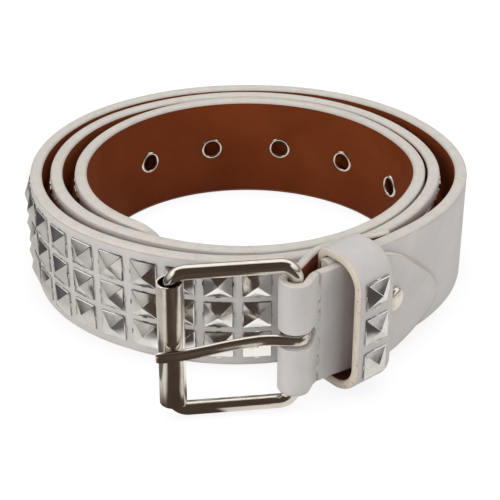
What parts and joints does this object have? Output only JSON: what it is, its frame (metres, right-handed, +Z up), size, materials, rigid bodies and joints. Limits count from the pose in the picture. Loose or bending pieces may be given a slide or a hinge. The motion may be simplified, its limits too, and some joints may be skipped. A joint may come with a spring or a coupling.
{
  "type": "studded belt",
  "caption": "Leather belt with rows of pyramid studs, coiled on its edge, with eyelets, a roller buckle on a folded tab and a studded keeper.",
  "frame": {"origin": "on the floor under the middle of the coiled belt's box", "axes": "+Z up from the floor, -Y towards the buckle's face, +X towards the keeper"},
  "size_m": [0.15, 0.17, 0.0508],
  "materials": {
    "white_leather": "painted, fine grain",
    "brown_lining": "smooth, matte",
    "nickel": "polished nickel plate"
  },
  "bodies": {
    "belt": {"strap": "white_leather", "lining": "brown_lining", "eyelet_1": "nickel", "eyelet_2": "nickel", "eyelet_3": "nickel", "eyelet_4": "nickel", "eyelet_5": "nickel", "buckle_tab": "white_leather", "keeper": "white_leather", "keeper_stud_1": "nickel", "keeper_stud_2": "nickel", "keeper_stud_3": "nickel", "snap_cap": "nickel"},
    "frame": {"buckle_frame": "nickel"},
    "roller": {"roller": "nickel"},
    "prong": {"prong": "nickel"}
  },
  "joints": [
    {"name": "frame_swing", "type": "hinge", "parent": "belt", "child": "frame", "pos_m": [0.01456, -0.07331, 0.0254], "axis": [0, 0, 1], "range_deg": [-25, 60]},
    {"name": "prong_swing", "type": "hinge", "parent": "frame", "child": "prong", "pos_m": [0.01456, -0.07331, 0.0248], "axis": [0, 0, 1], "range_deg": [0, 70]},
    {"name": "roller_spin", "type": "hinge", "parent": "frame", "child": "roller", "pos_m": [-0.02104, -0.07793, 0.0254], "axis": [0, 0, 1], "continuous": true}
  ]
}
